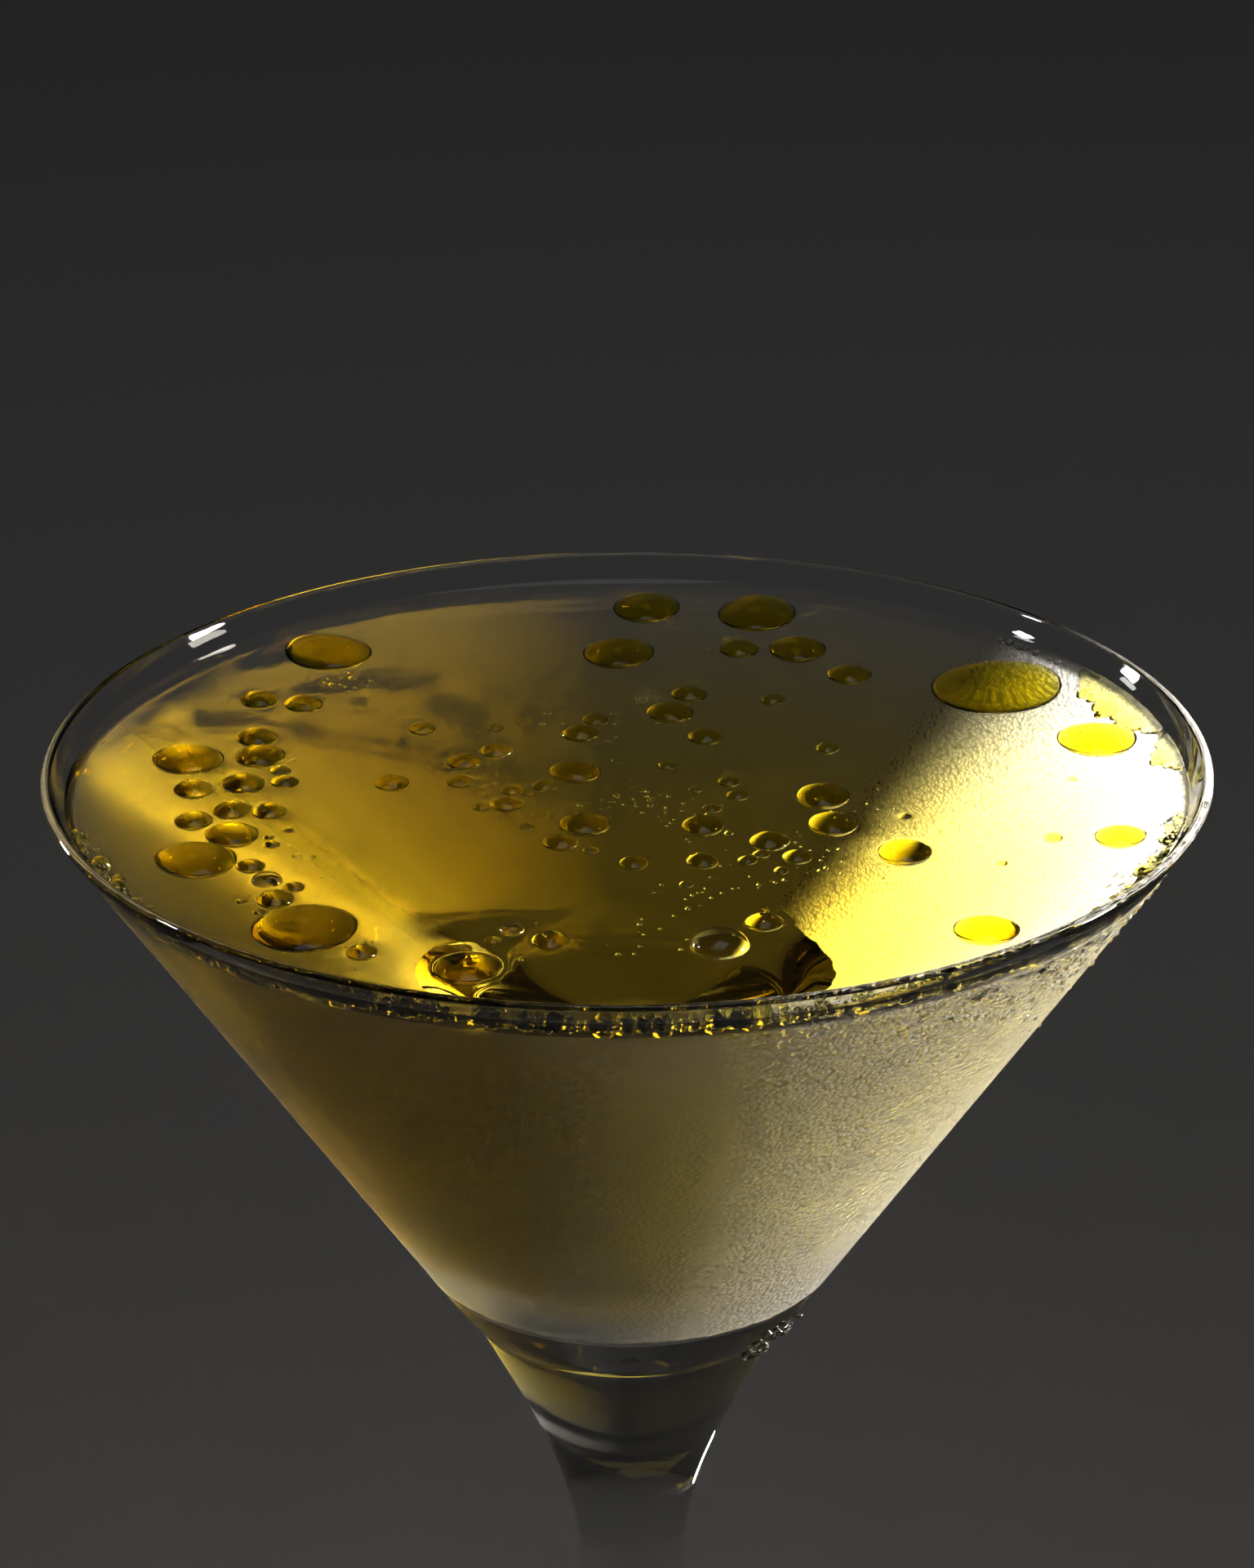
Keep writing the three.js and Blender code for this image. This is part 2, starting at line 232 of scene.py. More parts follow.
class Tree:
    """A short way to build a node tree."""

    def __init__(self, tree: bpy.types.NodeTree) -> None:
        """Keeps the tree.

        Args:
            tree: the tree that nodes are added to.
        """
        self.tree = tree

    def add(self, kind: str, inputs: dict | None = None, **settings: object) -> bpy.types.Node:
        """Adds a node, sets it up and wires its inputs.

        Args:
            kind: the node's type name.
            inputs: input name or number to a value, or to an output socket that feeds it.
            settings: attributes of the node itself.

        Returns:
            The node.
        """
        node = self.tree.nodes.new(kind)
        for key, value in settings.items():
            setattr(node, key, value)
        for key, value in (inputs or {}).items():
            if isinstance(value, Socket):
                self.tree.links.new(value, node.inputs[key])
            else:
                node.inputs[key].default_value = value
        return node

    def maths(self, operation: str, *values: object) -> Socket:
        """The output of a Math node on up to three values or sockets."""
        return self.add("ShaderNodeMath", dict(enumerate(values)), operation=operation).outputs[0]

    def product(self, *values: object) -> Socket:
        """All the values or sockets multiplied together."""
        return reduce(lambda one, other: self.maths("MULTIPLY", one, other), values)

    def mix(self, share: object, one: Socket, other: Socket) -> Socket:
        """Two shaders mixed, with a share of the other."""
        return self.add("ShaderNodeMixShader", {0: share, 1: one, 2: other}).outputs[0]

    def smooth(self, value: object, low: object, high: object) -> Socket:
        """Nought below low, one above high, and an eased step between."""
        node = self.add(
            "ShaderNodeMapRange",
            {"Value": value, "From Min": low, "From Max": high, "To Min": 0.0, "To Max": 1.0},
            interpolation_type="SMOOTHSTEP",
        )
        return node.outputs["Result"]


def blank_material(name: str) -> tuple[bpy.types.Material, Tree]:
    """A new material and its empty node tree."""
    made = bpy.data.materials.new(name)
    made.use_nodes = True
    made.node_tree.nodes.clear()
    return made, Tree(made.node_tree)


@dataclass(frozen=True)
class ClearLiquid:
    """A clear material: smooth, refracting, and coloured by what it absorbs on the way through.

    Attributes:
        name: the material's name.
        slot: the record's material slot.
        ior: index of refraction.
        kept: the share of red, green and blue that is left after the distance depth.
        depth: that distance in metres.
        roughness: of the surface.
    """

    name: str
    slot: str
    ior: float
    kept: tuple[float, float, float]
    depth: float
    roughness: float = 0.0

    def absorption(self) -> tuple[float, tuple[float, float, float, float]]:
        """Density and colour of the volume: each channel fades by exp(-density * (1 - colour) * distance)."""
        fade = [-math.log(share) / self.depth for share in self.kept]
        density = max(fade)
        red, green, blue = (1.0 - f / density for f in fade)
        return density, (red, green, blue, 1.0)

    def build(self) -> bpy.types.Material:
        """Makes the material.

        Returns:
            A node material with a Principled surface and an absorbing volume.
        """
        made, tree = blank_material(self.name)
        surface = tree.add(
            "ShaderNodeBsdfPrincipled",
            {
                "Base Color": (1.0, 1.0, 1.0, 1.0),
                "Roughness": self.roughness,
                "IOR": self.ior,
                "Transmission Weight": 1.0,
            },
        )
        density, colour = self.absorption()
        volume = tree.add("ShaderNodeVolumeAbsorption", {"Color": colour, "Density": density})
        tree.add("ShaderNodeOutputMaterial", {"Surface": surface.outputs[0], "Volume": volume.outputs[0]})
        return made


@dataclass(frozen=True)
class FoggedGlass:
    """Clear glass whose outside is fogged by condensation where the cold drink is behind it.

    Lengths are in metres. Angles go round the axis from +X towards +Y, in degrees unless it says radians. A
    pair of them runs from where a mask is nought to where it is one.

    Attributes:
        height: of the rim above the table.
        rim: radius of the rim.
        wall: thickness of the wall at the rim.
        slope: radius lost for each metre down the middle of the wall.
        top: depth below the rim at which the fog starts.
        bottom: depth at which its ragged lower edge lies.
        name: the material's name.
        ior: index of refraction.
        fine_roughness: of the even fog.
        beaded_roughness: of the fog on the beaded side.
        thin_fog: share of that roughness left in the middle of the far wall.
        wetted_passing: share of light that the wetted inside lets through with no reflection.
        veil: how much of the light the beaded side scatters widely.
        sent_back: share of that light which goes back.
        raggedness: height of the waves in the fog's lower edge.
        ragged_scale: how close those waves are.
        bead_size: width of a bead in the relief.
        bead_relief: height of the relief.
        patch_scale: how close the stronger and weaker patches of relief are.
        far_beads: the mask of the beads on the far wall.
        near_beads: the mask of the beads on the near wall.
        far_veil: the mask of the wide scattering on the far wall.
        calm_middle: where the far wall has the least fog, in radians.
        calm_reach: the mask of the thin fog to each side of there, in radians.
    """

    height: float
    rim: float
    wall: float
    slope: float
    top: float
    bottom: float
    name: str = "clear_glass"
    ior: float = 1.52
    fine_roughness: float = 0.36
    beaded_roughness: float = 0.32
    thin_fog: float = 0.15
    wetted_passing: float = 0.9
    veil: float = 0.5
    sent_back: float = 0.07
    raggedness: float = 1.2 * MM
    ragged_scale: float = 420.0
    bead_size: float = 0.55 * MM
    bead_relief: float = 0.26 * MM
    patch_scale: float = 160.0
    far_beads: tuple[float, float] = (62.0, 26.0)
    near_beads: tuple[float, float] = (-105.0, -62.0)
    far_veil: tuple[float, float] = (46.0, 14.0)
    calm_middle: float = 1.6
    calm_reach: tuple[float, float] = (1.35, 0.95)

    def fogged_depths(self, tree: Tree, place: Socket, depth: Socket) -> Socket:
        """The mask of the depths at which the drink lies behind the wall.

        Args:
            tree: where its nodes go.
            place: the point in Object coordinates.
            depth: its depth below the rim.

        Returns:
            One between the fog's upper edge and its ragged lower one, nought elsewhere.
        """
        noise = {"Vector": place, "Scale": self.ragged_scale, "Detail": 3.0}
        ragged = tree.add("ShaderNodeTexNoise", noise).outputs["Fac"]
        edge = tree.maths("MULTIPLY_ADD", ragged, self.raggedness, self.bottom - self.raggedness / 2)
        low, high = (tree.maths("ADD", edge, way * 0.15 * MM) for way in (1.0, -1.0))
        above = tree.smooth(depth, low, high)
        below = tree.smooth(depth, self.top - 0.4 * MM, self.top + 0.6 * MM)
        return tree.product(above, below)

    def build(self) -> bpy.types.Material:
        """Makes the material: the fog is roughness and fine relief on the outside of the cone alone.

        Returns:
            A node material that reads Object coordinates.
        """
        made, tree = blank_material(self.name)
        place = tree.add("ShaderNodeTexCoord").outputs["Object"]
        x, y, z = tree.add("ShaderNodeSeparateXYZ", {0: place}).outputs
        radius = tree.maths("SQRT", tree.maths("ADD", tree.product(x, x), tree.product(y, y)))
        depth = tree.maths("SUBTRACT", self.height, z)
        middle = tree.maths("MULTIPLY_ADD", depth, -self.slope, self.rim - self.wall / 2)
        outside = tree.maths("GREATER_THAN", radius, middle)
        cold = self.fogged_depths(tree, place, depth)
        fog = tree.product(outside, cold)

        angle = tree.maths("ARCTAN2", y, x)
        far_side, near_side, thick = (
            tree.smooth(angle, math.radians(start), math.radians(end))
            for start, end in (self.far_beads, self.near_beads, self.far_veil)
        )
        side = tree.product(far_side, near_side)
        noise = {"Vector": place, "Scale": self.patch_scale, "Detail": 2.0}
        patches = tree.add("ShaderNodeTexNoise", noise).outputs["Fac"]
        grid = {"Vector": place, "Scale": 1.0 / self.bead_size, "Randomness": 1.0}
        cells = tree.add("ShaderNodeTexVoronoi", grid, feature="F1").outputs["Distance"]
        strength = tree.maths("MULTIPLY_ADD", patches, 0.9, 0.55)
        relief = tree.product(tree.maths("SUBTRACT", 1.0, cells), fog, side, strength)
        bump = tree.add("ShaderNodeBump", {"Height": relief, "Distance": self.bead_relief, "Strength": 1.0})

        aside = tree.maths("ABSOLUTE", tree.maths("SUBTRACT", angle, self.calm_middle))
        calm = tree.maths("MULTIPLY_ADD", tree.smooth(aside, *self.calm_reach), self.thin_fog - 1.0, 1.0)
        more = self.beaded_roughness - self.fine_roughness
        mixed = tree.maths("MULTIPLY_ADD", side, more, self.fine_roughness)
        surface = tree.add(
            "ShaderNodeBsdfPrincipled",
            {
                "Base Color": (1.0, 1.0, 1.0, 1.0),
                "Roughness": tree.product(fog, mixed, calm),
                "IOR": self.ior,
                "Transmission Weight": 1.0,
                "Normal": bump.outputs[0],
            },
        )
        white = {"Color": (0.95, 0.95, 0.95, 1.0), "Normal": bump.outputs[0]}
        through = tree.add("ShaderNodeBsdfTranslucent", white).outputs[0]
        back = tree.add("ShaderNodeBsdfDiffuse", white).outputs[0]
        veil = tree.mix(self.sent_back, through, back)
        grain = tree.maths("MULTIPLY_ADD", cells, -self.veil, 1.35 * self.veil)
        veiled = tree.mix(tree.product(fog, side, thick, grain), surface.outputs[0], veil)
        plain = {"Color": (1.0, 1.0, 1.0, 1.0), "Roughness": 0.0, "IOR": self.ior}
        clear = tree.add("ShaderNodeBsdfRefraction", plain).outputs[0]
        passed = tree.product(tree.maths("SUBTRACT", 1.0, outside), cold, self.wetted_passing)
        tree.add("ShaderNodeOutputMaterial", {"Surface": tree.mix(passed, veiled, clear)})
        return made


@dataclass
class Glassware:
    """The blown glass in millimetres: bowl, drawn stem and foot in one turned piece.

    Depths are measured down from the rim and heights up from the table. A pull is how far the neck's curve
    runs straight on at one of its ends, and a slope is radius lost for each millimetre down.
    """

    height: float
    rim_radius: float
    wall: float = 1.0
    outer_slope: float = 0.668
    inner_slope: float = 0.6939
    cone_depth: float = 56.0
    shoulder_depth: float = 60.0
    shoulder_radius: float = 16.3
    bend_depth: float = 44.0
    hollow_depth: float = 55.0
    neck_slope: float = 0.521
    neck_pull: float = 19.9
    shaft_pull: float = 22.2
    shaft_top_depth: float = 105.0
    shaft_top_radius: float = 4.9
    shaft_foot_radius: float = 4.3
    shaft_foot_height: float = 26.0
    foot_radius: float = 39.6
    foot_edge: float = 1.6
    foot_flare: tuple[float, float] = (4.3, 8.0)
    foot_slope: tuple[float, float] = (10.0, 4.6)
    foot_hollow_radius: float = 24.0
    foot_hollow_height: float = 1.2
    sides: int = 256

    def outer(self, depth: float) -> float:
        """Radius of the outside of the cone at a depth below the rim."""
        return self.rim_radius - self.outer_slope * depth

    def inner(self, depth: float) -> float:
        """Radius of the inside of the cone at a depth below the rim, straight from the lip's inner edge."""
        return self.rim_radius - self.wall - self.inner_slope * (depth - self.wall / 2)

    def below(self, radius: float, depth: float) -> tuple[float, float]:
        """The profile point at a radius and a depth below the rim."""
        return radius, self.height - depth

    def hollow_floor(self, steps: int) -> np.ndarray:
        """The rounded floor of the hollow, from its middle out to the straight wall."""
        return bezier(
            [
                self.below(0.0, self.hollow_depth),
                self.below(self.inner(self.hollow_depth), self.hollow_depth),
                self.below(self.inner(self.bend_depth), self.bend_depth),
            ],
            steps,
        )

    def profile(self) -> np.ndarray:
        """The whole outline: under the foot, up the stem and the outside, over the lip and down the inside.

        The foot's hollow, the flare, the shaft, the neck and the shoulder are Bezier curves that meet
        smoothly, the foot's edge and the lip are half circles, and the cone's two faces are straight.

        Returns:
            Rows of radius and height in millimetres, with both ends on the axis.
        """
        edge = self.foot_edge / 2
        hollow, lift = self.foot_hollow_radius, self.foot_hollow_height
        under = bezier([(0.0, lift), (hollow / 2, lift), (hollow, 0.0)], 16)
        flare = bezier(
            [
                (self.foot_radius - edge, self.foot_edge),
                self.foot_slope,
                self.foot_flare,
                (self.shaft_foot_radius, self.shaft_foot_height),
            ],
            48,
        )
        pulled_in = self.shoulder_radius - self.neck_slope * self.neck_pull
        neck = bezier(
            [
                self.below(self.shaft_top_radius, self.shaft_top_depth),
                self.below(self.shaft_top_radius, self.shaft_top_depth - self.shaft_pull),
                self.below(pulled_in, self.shoulder_depth + self.neck_pull),
                self.below(self.shoulder_radius, self.shoulder_depth),
            ],
            48,
        )
        shoulder = bezier(
            [
                self.below(self.shoulder_radius, self.shoulder_depth),
                self.below(self.outer(self.shoulder_depth - 1.0), self.shoulder_depth - 1.0),
                self.below(self.outer(self.cone_depth), self.cone_depth),
            ],
            8,
        )
        half = self.wall / 2
        lip = arc((self.rim_radius - half, self.height - half), half, 0.0, 180.0, 14)
        foot_edge = arc((self.foot_radius - edge, edge), edge, -90.0, 90.0, 10)
        shaft = bezier([tuple(flare[-1]), tuple(neck[0])], 12)
        cone = bezier([tuple(shoulder[-1]), tuple(lip[0])], 24)
        inside = bezier([tuple(lip[-1]), self.below(self.inner(self.bend_depth), self.bend_depth)], 24)
        floor = self.hollow_floor(24)[::-1]
        after = [flare, shaft, neck, shoulder, cone, lip, inside, floor]
        return np.concatenate([under, foot_edge] + [part[1:] for part in after])

    def build(self, material: bpy.types.Material) -> bpy.types.Object:
        """Makes the glass and hides the faceted one."""
        piece = turned(self.profile() * MM, self.sides).piece("cocktail_glass", material, "clear_glass")
        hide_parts("glass")
        return piece


class Kind(Enum):
    """What floats on the drink."""

    OIL = "oil"
    AIR = "air"


@dataclass
class Floater:
    """A drop of oil or a bubble on the drink, in millimetres.

    Attributes:
        x: to the right of the glass's axis.
        y: to the back of it.
        width: across.
        kind: oil or air.
        node: the CAD node it stands for, if it has one.
    """

    x: float
    y: float
    width: float
    kind: Kind = Kind.OIL
    node: str = ""

    @property
    def radius(self) -> float:
        """Half the width."""
        return self.width / 2

    @property
    def crown(self) -> float:
        """How far its top stands over its rim."""
        return 1.5 * self.width / 5.4 if self.kind is Kind.AIR else min(0.2 * self.width, 0.75)

    @property
    def belly(self) -> float:
        """How far its bottom hangs below its rim."""
        return 0.3 * self.width if self.kind is Kind.AIR else min(0.46 * self.width, 2.8)

    @property
    def rise(self) -> float:
        """How far the drink creeps up its rim."""
        return min(0.03 * self.width, 0.1)

    @property
    def fullness(self) -> float:
        """Power of the crown's curve: a wide drop is flat in the middle, a narrow one is a plain dome."""
        return float(np.clip(self.width / 2.4, 2.0, 4.5))

    def distance(self, x: np.ndarray, y: np.ndarray) -> np.ndarray:
        """Share of the way from its centre to its oval rim, one on the rim."""
        turn = self.x + self.y
        along = (x - self.x) * math.cos(turn) + (y - self.y) * math.sin(turn)
        across = (y - self.y) * math.cos(turn) - (x - self.x) * math.sin(turn)
        return np.hypot(along / (1 + OVAL), across / (1 - OVAL)) / self.radius

    def ring(self, radius: float, sides: int) -> np.ndarray:
        """Points on an oval like its rim: (1 + oval) r cos a and (1 - oval) r sin a, turned and moved."""
        angle = np.linspace(0.0, 2.0 * np.pi, sides, endpoint=False)
        turn = self.x + self.y
        along = (1 + OVAL) * radius * np.cos(angle)
        across = (1 - OVAL) * radius * np.sin(angle)
        x = self.x + along * math.cos(turn) - across * math.sin(turn)
        y = self.y + along * math.sin(turn) + across * math.cos(turn)
        return np.stack([x, y], axis=1)


@dataclass
class Drink:
    """The drink in millimetres: a body that fits the glass and a surface with a pocket under each floater.

    Attributes:
        glass: what holds it.
        level: height of the still surface above the table.
        floaters: the drops and bubbles that have pockets in it.
        edge_rise: how far it creeps up the wall.
        edge_reach: how far from the wall the creep has fallen to a third.
        into_wall: how far its side reaches into the glass.
        sides: points round its edge.
        grid_step: spacing of the points on its open surface.
        wall_rings: distances from the wall of the outermost rings of points.
    """

    glass: Glassware
    level: float
    floaters: list[Floater]
    edge_rise: float = 1.3
    edge_reach: float = 1.8
    into_wall: float = 0.05
    sides: int = 360
    grid_step: float = 1.5
    wall_rings: tuple[float, ...] = (0.0, 0.15, 0.35, 0.6, 0.9, 1.3, 1.8, 2.5, 3.5, 4.8)

    @property
    def edge_radius(self) -> float:
        """Radius of the line where the surface meets the wall."""
        return self.glass.inner(self.glass.height - self.level - self.edge_rise) + self.into_wall

    def still(self, radius: np.ndarray) -> np.ndarray:
        """Height without floaters: the level plus edge_rise * exp(-distance from the wall / edge_reach)."""
        return self.level + self.edge_rise * np.exp((radius - self.edge_radius) / self.edge_reach)

    def height(self, points: np.ndarray) -> np.ndarray:
        """Height of the surface.

        Outside every floater it is the still height plus the largest creep of the drink up a floater's rim,
        rise * exp(-distance / (6 * rise)). Inside a floater it is the rim's height less the floater's belly,
        belly * sqrt(1 - share squared), drawn in a little so that the two pieces overlap.

        Args:
            points: rows of x and y.

        Returns:
            One height for each row.
        """
        x, y = points[:, 0], points[:, 1]
        creep = np.zeros(len(points))
        pocket = np.zeros(len(points))
        for floater in self.floaters:
            share = floater.distance(x, y)
            gap = (share - 1.0) * floater.radius
            near = floater.rise * np.exp(-np.maximum(gap, 0.0) / (6.0 * floater.rise))
            creep = np.maximum(creep, near)
            inside = share * floater.radius / (floater.radius - OVERLAP)
            depth = (floater.belly - OVERLAP) * np.sqrt(np.clip(1.0 - inside**2, 0.0, None))
            pocket = np.maximum(pocket, depth)
        radius = np.hypot(x, y)
        free = np.clip((self.edge_radius - radius) / 0.3, 0.0, 1.0)
        return self.still(radius) + free * (creep - pocket)

    def scatter(self) -> np.ndarray:
        """The surface's points from above: rings round and under each floater, a polar grid elsewhere.

        Returns:
            Rows of x and y.
        """
        edge = self.edge_radius
        angle = np.linspace(0.0, 2.0 * np.pi, self.sides, endpoint=False)
        near_wall = edge - np.array(self.wall_rings)
        kept = [around_axis(r, angle, 0.0) for r in near_wall]
        for i, r in enumerate(np.arange(near_wall[-1] - self.grid_step, 0.0, -self.grid_step)):
            count = max(6, int(2.0 * np.pi * r / self.grid_step))
            around = np.linspace(0.0, 2.0 * np.pi, count, endpoint=False) + 0.37 * i
            kept.append(around_axis(r, around, 0.0))
        field = np.concatenate(kept)[:, :2]
        room = np.full(len(field), np.inf)
        for floater in self.floaters:
            gap = (floater.distance(field[:, 0], field[:, 1]) - 1.0) * floater.radius
            room = np.minimum(room, gap)
        on_edge = np.arange(len(field)) < self.sides
        rings = [field[on_edge | (room > 0.55)]]
        lift = np.radians([0.0, 8.0, 17.0, 27.0, 38.0, 50.0, 63.0, 77.0])
        for own in self.floaters:
            sides = int(np.clip(own.width * 12.0, 20, 72))
            under = [own.ring((own.radius - OVERLAP) * math.cos(a), sides) for a in lift]
            spread = own.radius + np.array([0.0, 0.05, 0.12, 0.22, 0.38])
            round_it = np.concatenate([own.ring(r, sides) for r in spread])
            free = np.hypot(round_it[:, 0], round_it[:, 1]) < edge - 0.08
            for other in self.floaters:
                if other is not own:
                    free &= (other.distance(round_it[:, 0], round_it[:, 1]) - 1.0) * other.radius > 0.02
            rings += under + [round_it[free], np.array([[own.x, own.y]])]
        return np.concatenate(rings)

    def surface(self) -> Surface:
        """The top of the drink: the scattered points joined by a Delaunay triangulation, each at its height.

        Returns:
            Triangles facing up, in metres.
        """
        found = delaunay_2d_cdt([Vector(p) for p in self.scatter()], [], [], 0, 1e-6)
        flat = np.array([tuple(v) for v in found[0]])
        points = np.column_stack([flat, self.height(flat)]) * MM
        return Surface(points, [np.array(found[2])])

    def body(self) -> Surface:
        """The side and bottom: the hollow's own profile, moved into the wall, and turned.

        Returns:
            An open surface, in metres, that ends on the surface's outermost points.
        """
        top = self.glass.height - self.level - self.edge_rise
        floor = self.glass.hollow_floor(24)
        wall = bezier([tuple(floor[-1]), self.glass.below(self.glass.inner(top), top)], 24)
        profile = shifted(np.concatenate([floor, wall[1:]]), -self.into_wall)
        profile[-1] = (self.edge_radius, self.level + self.edge_rise)
        closed = turned(np.concatenate([profile, [[0.0, profile[-1, 1]]]]) * MM, self.sides)
        return Surface(closed.points[:-1], closed.faces[:-1])

    def build(self, material: bpy.types.Material) -> bpy.types.Object:
        """Makes the drink and hides the faceted one.

        Args:
            material: its finish.

        Returns:
            The piece.
        """
        piece = joined([self.body(), self.surface()]).piece("gold_drink", material, "drink")
        weld(piece, 1e-6)
        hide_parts("drink")
        return piece


def weld(piece: bpy.types.Object, distance: float) -> None:
    """Merges the vertices that coincide and marks the sharp edges.

    Args:
        piece: an object whose mesh is changed.
        distance: the furthest that two merged vertices lie apart, in metres.
    """
    made = bmesh.new()
    made.from_mesh(piece.data)
    bmesh.ops.remove_doubles(made, verts=made.verts, dist=distance)
    made.to_mesh(piece.data)
    made.free()
    piece.data.set_sharp_from_angle(angle=math.radians(35.0))


def lens(floater: Floater, drink: Drink, rings: int, sides: int) -> Surface:
    """A floating drop: a bulging belly under a low crown, on an oval grid of shares of the way to the rim.

    The belly is rim - belly * sqrt(1 - share squared) and the crown rim + crown * (1 - share ** fullness),
    where the rim follows the still surface of the drink plus its creep up the drop.

    Args:
        floater: the drop.
        drink: what it floats on.
        rings: grid rings in each half.
        sides: points in a ring.

    Returns:
        A closed surface in metres.
    """
    lift = np.linspace(0.0, np.pi / 2, rings + 1)
    under = np.sin(lift[1:])
    over = under[-2::-1]
    centre = np.array([[floater.x, floater.y]])
    flat = [centre] + [floater.ring(s * floater.radius, sides) for s in under]
    flat += [floater.ring(s * floater.radius, sides) for s in over] + [centre]
    share = np.concatenate([[0.0], np.repeat(under, sides), np.repeat(over, sides), [0.0]])
    is_crown = np.arange(len(share)) > rings * sides
    places = np.concatenate(flat)
    rim = drink.still(np.hypot(places[:, 0], places[:, 1])) + floater.rise
    crown = floater.crown * (1.0 - share**floater.fullness)
    belly = -floater.belly * np.sqrt(1.0 - share**2)
    points = np.column_stack([places, rim + np.where(is_crown, crown, belly)]) * MM
    count = 2 * rings - 1
    low = fan(0, 1, sides, under=True)
    high = fan(len(points) - 1, 1 + (count - 1) * sides, sides)
    return Surface(points, [grid_faces(count, sides, 1), low, high])


def beads(places: np.ndarray, sizes: np.ndarray, flat: float, around: int = 12, along: int = 7) -> Surface:
    """Many small round beads: place + size / 2 * (cos v cos u, cos v sin u, flatness * sin v).

    Args:
        places: centres, one row each, in millimetres.
        sizes: widths in millimetres.
        flat: height of a bead as a share of its width.
        around: points round a bead.
        along: rows from pole to pole.

    Returns:
        One surface of closed beads, in metres.
    """
    u = np.linspace(0.0, 2.0 * np.pi, around, endpoint=False)
    v = np.linspace(-np.pi / 2, np.pi / 2, along)[1:-1]
    level = np.outer(np.sin(v), np.ones(around))
    ball = np.stack([np.outer(np.cos(v), np.cos(u)), np.outer(np.cos(v), np.sin(u)), level], axis=-1)
    ball = np.concatenate([ball.reshape(-1, 3), [[0.0, 0.0, -1.0], [0.0, 0.0, 1.0]]])
    stretch = np.stack([sizes / 2, sizes / 2, sizes / 2 * flat], axis=1)
    points = (places[:, None, :] + ball[None] * stretch[:, None, :]).reshape(-1, 3) * MM
    rows = along - 2
    quads = grid_faces(rows, around)
    low = fan(len(ball) - 2, 0, around, under=True)
    caps = np.concatenate([low, fan(len(ball) - 1, (rows - 1) * around, around)])
    start = (np.arange(len(places)) * len(ball))[:, None, None]
    return Surface(points, [(quads[None] + start).reshape(-1, 4), (caps[None] + start).reshape(-1, 3)])


# Every drop wider than a few millimetres: the CAD node, then its centre to the right and back, and its width.
LARGE = [
    ("drop_far_left", -31.1, 36.8, 9.0), ("drop_left_high", -43.6, 8.4, 7.1),
    ("drop_left_inner", -36.5, 9.0, 5.0), ("drop_left_middle", -38.0, -10.4, 5.3),
    ("drop_left_low", -41.0, -16.3, 7.8), ("drop_left_near", -29.8, -32.1, 9.9),
    ("drop_far_middle", 2.2, 49.1, 7.2), ("drop_far_right", 13.9, 47.1, 8.5),
    ("drop_back_dark", -0.8, 36.3, 7.5), ("drop_back_right", 17.9, 37.1, 6.1),
    ("drop_centre_back", 4.4, 19.8, 4.8), ("drop_centre", -5.1, 4.6, 5.0),
    ("drop_centre_front", -4.1, -8.5, 4.9), ("drop_right_pair_back", 19.1, -1.8, 5.4),
    ("drop_right_pair_front", 19.8, -8.6, 4.9), ("drop_front", -14.6, -40.9, 6.2),
    ("drop_largest", 37.9, 26.0, 13.6), ("drop_right_wall", 47.0, 12.0, 7.9),
    ("drop_right_low", 47.2, -12.2, 4.9), ("drop_right_inner", 26.4, -15.5, 5.3),
    ("drop_right_near", 33.0, -33.3, 6.0),
]
# The smaller drops: centre to the right and back, and width.
SMALL = [
    (-37.5, 23.8, 4.0), (-32.9, 22.6, 4.0), (-37.1, 13.8, 4.2), (-34.2, 5.2, 2.1), (-42.5, 0.6, 4.0),
    (-37.7, 2.1, 4.4), (-33.6, 2.3, 2.7), (-41.9, -7.1, 3.9), (-38.4, -4.6, 3.8), (-34.7, -5.0, 3.4),
    (-35.7, -18.0, 2.8), (-31.3, -22.9, 2.1), (-32.9, -25.7, 3.6), (-24.3, -37.5, 3.0), (-20.6, 15.8, 2.8),
    (-23.1, 1.9, 3.4), (-16.1, 7.1, 3.4), (-13.0, 9.9, 3.3), (-16.4, 2.2, 2.7), (-11.2, -0.1, 2.2),
    (-11.7, -3.5, 3.2), (-4.6, 14.3, 3.7), (-3.1, 17.9, 2.7), (-8.0, 1.0, 2.5), (-6.4, -12.9, 3.4),
    (11.8, 37.2, 4.3), (23.0, 29.8, 4.6), (6.4, 24.6, 3.6), (7.9, 13.2, 3.6), (14.9, 23.0, 2.5),
    (20.0, 10.1, 2.4), (4.0, 5.9, 1.9), (10.0, 1.7, 2.2), (10.8, -1.7, 2.2), (8.2, -4.9, 1.9),
    (7.3, -9.0, 4.2), (13.6, -12.8, 3.9), (7.1, -17.5, 3.1), (0.6, -17.8, 2.8), (16.1, -16.6, 2.8),
    (11.4, -17.3, 1.9), (12.6, -31.4, 3.5), (-7.1, -35.2, 3.6), (-34.2, -28.5, 1.2), (-34.0, -13.0, 1.6),
    (-34.4, -11.3, 1.1), (-32.6, -9.5, 1.1), (-36.0, -26.1, 1.2), (-13.3, 15.9, 1.8), (-10.4, 17.6, 1.8),
    (-14.2, -4.3, 1.6), (-9.7, -1.0, 1.1), (-9.6, -9.0, 1.6), (-3.5, -14.8, 1.6), (6.7, -0.2, 1.4),
    (12.7, -15.9, 1.6), (14.5, -19.7, 1.5), (5.5, -22.8, 1.4), (-12.4, -35.1, 1.5), (-0.9, 7.1, 1.3),
    (26.8, -7.1, 1.4), (43.7, 1.9, 1.1), (40.7, -12.4, 1.9), (35.4, -18.3, 1.2),
]
